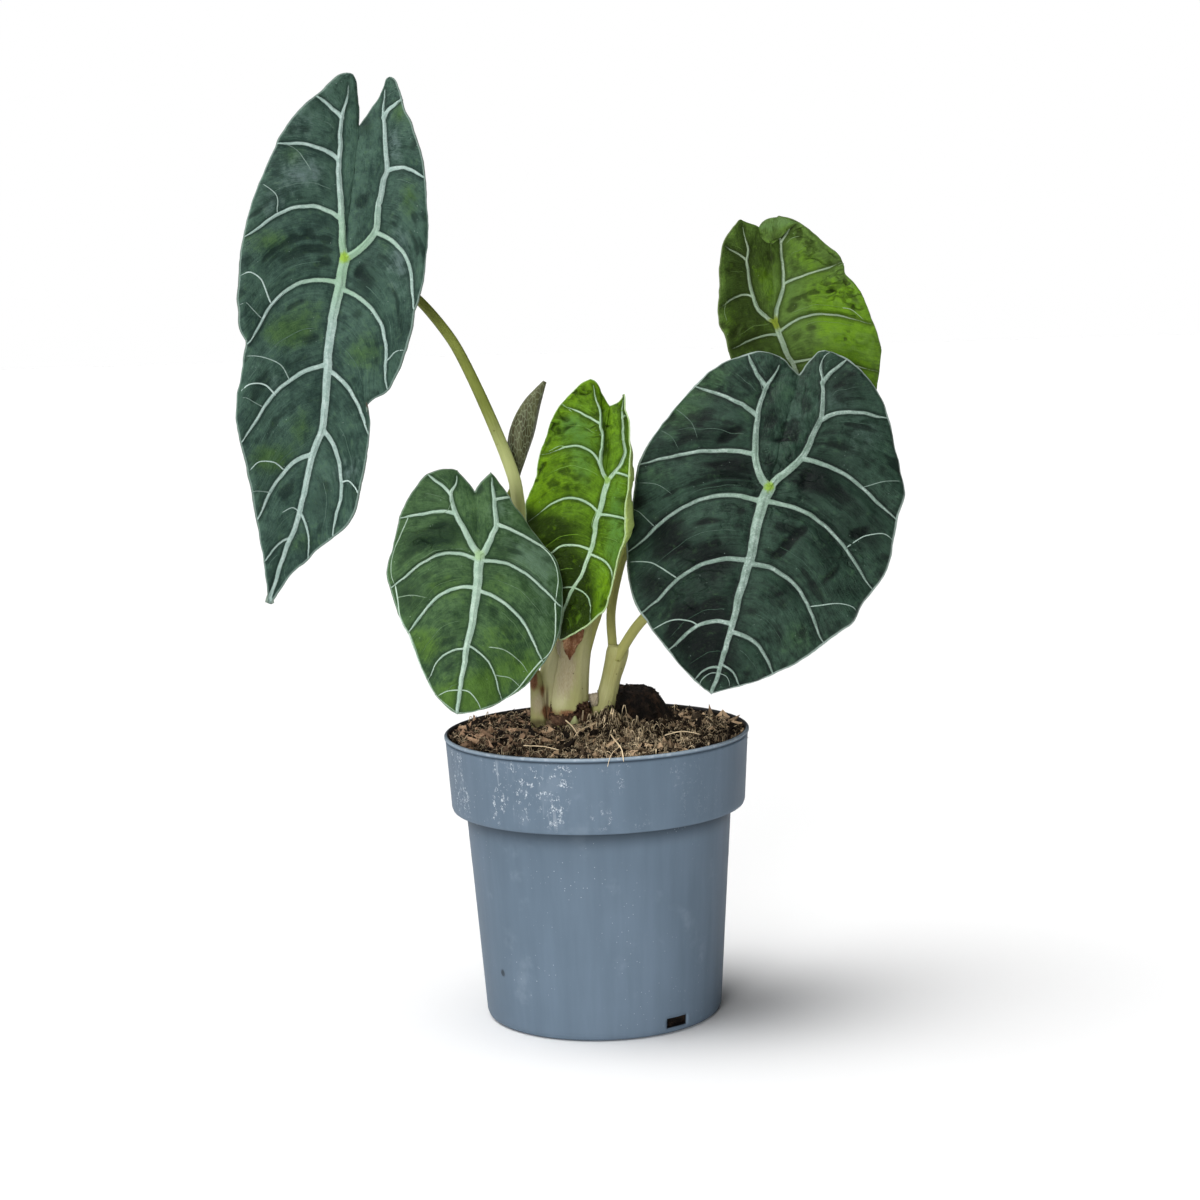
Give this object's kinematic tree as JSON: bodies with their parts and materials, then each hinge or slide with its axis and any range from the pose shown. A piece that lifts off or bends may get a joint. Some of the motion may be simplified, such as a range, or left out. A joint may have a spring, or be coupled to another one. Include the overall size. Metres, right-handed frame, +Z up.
{
  "type": "potted alocasia house plant",
  "caption": "Potted alocasia with pale-veined shield leaves on slender petioles, a rolled young leaf, and sheathed stems standing in soil in a stepped plastic pot.",
  "frame": {"origin": "centre of the pot's flat foot, on the surface it stands on", "axes": "+Z up along the pot's axis, -Y towards the side that the leaves face, +X to the right seen from that side"},
  "size_m": [0.25, 0.1212, 0.3707],
  "materials": {
    "pot_plastic": "slate blue moulded plastic, satin, with a few pale mineral splashes on the collar",
    "potting_soil": "moist fibrous brown peat with pale fibres",
    "sheath_skin": "pale cream-green sheath, satin",
    "petiole_skin": "smooth olive-green stalk, satin",
    "leaf_deep_green": "deep blue-green blade with a soft leathery sheen",
    "leaf_mid_green": "mid green blade with a soft leathery sheen",
    "leaf_bright_green": "bright yellow-green young blade, slightly crinkled and glossy",
    "leaf_fresh_green": "fresh green blade, slightly glossy",
    "vein_pale": "pale silvery green raised vein",
    "spear_skin": "brownish green underside of the rolled young leaf with a pale net",
    "dry_sheath": "dry papery reddish brown sheath"
  },
  "bodies": {
    "root": {"pot": "pot_plastic", "soil": "potting_soil", "crown": "sheath_skin", "bud": "sheath_skin", "petiole_tall": "petiole_skin", "petiole_low": "petiole_skin", "petiole_young": "petiole_skin", "petiole_wide": "petiole_skin", "petiole_back": "petiole_skin", "petiole_spear": "petiole_skin", "blade_tall": "leaf_deep_green", "blade_low": "leaf_mid_green", "blade_young": "leaf_bright_green", "blade_wide": "leaf_deep_green", "blade_back": "leaf_fresh_green", "veins_tall": "vein_pale", "veins_low": "vein_pale", "veins_young": "vein_pale", "veins_wide": "vein_pale", "veins_back": "vein_pale", "spear": "spear_skin", "sheath_tip": "dry_sheath", "sheath_foot": "dry_sheath"}
  },
  "joints": []
}
